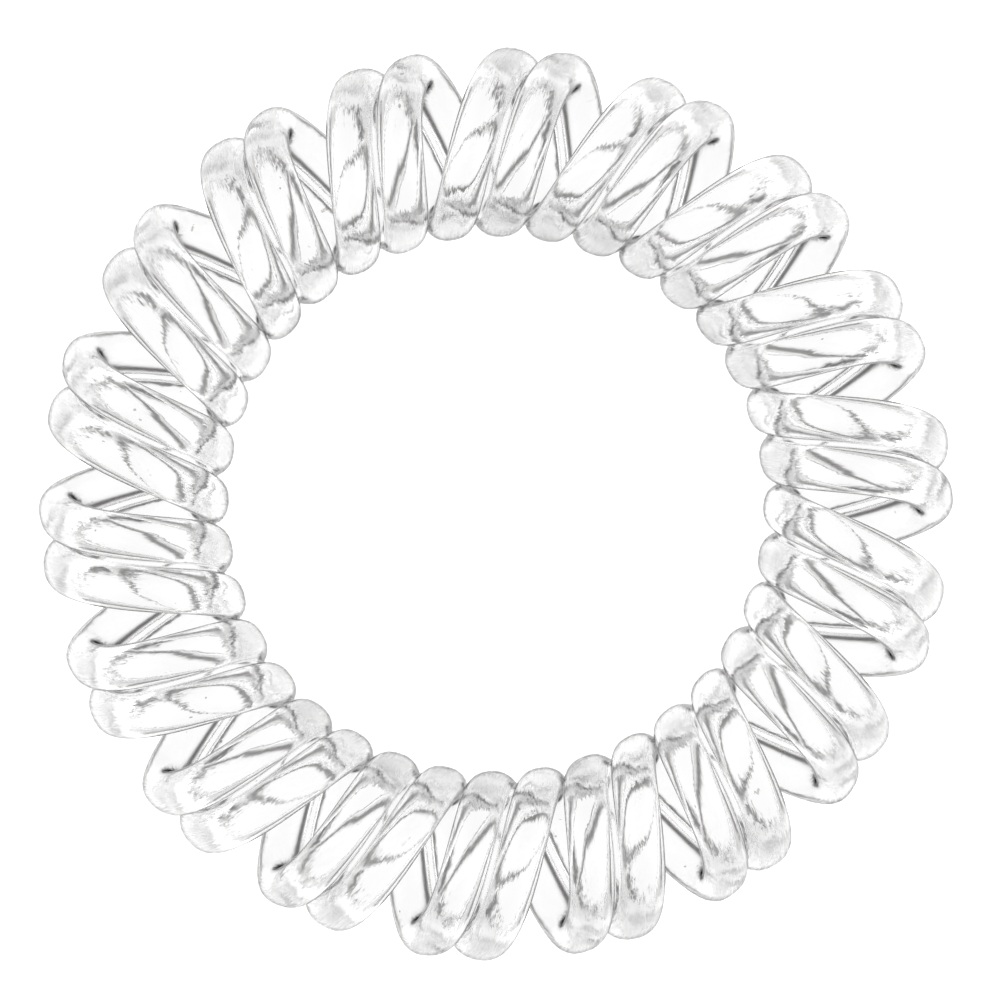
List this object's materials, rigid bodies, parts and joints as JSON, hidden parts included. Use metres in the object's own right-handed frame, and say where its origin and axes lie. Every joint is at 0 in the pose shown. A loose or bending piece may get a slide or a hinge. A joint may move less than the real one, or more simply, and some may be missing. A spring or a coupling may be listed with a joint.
{
  "type": "spiral hair tie",
  "caption": "Clear plastic spiral hair tie: a smooth twin-lobed band coiled into a closed springy ring that holds a ponytail.",
  "frame": {"origin": "on the ring's axis, at the level of the surface that the ring lies on", "axes": "+Z along the ring's axis, up from that surface; +Y is the top of the picture"},
  "size_m": [0.0496, 0.0494, 0.0077],
  "materials": {
    "clear_band": "clear colourless elastic plastic, glossy, with faint streaks along the band and a few tiny specks"
  },
  "bodies": {
    "root": {"coil_band": "clear_band"}
  },
  "joints": []
}
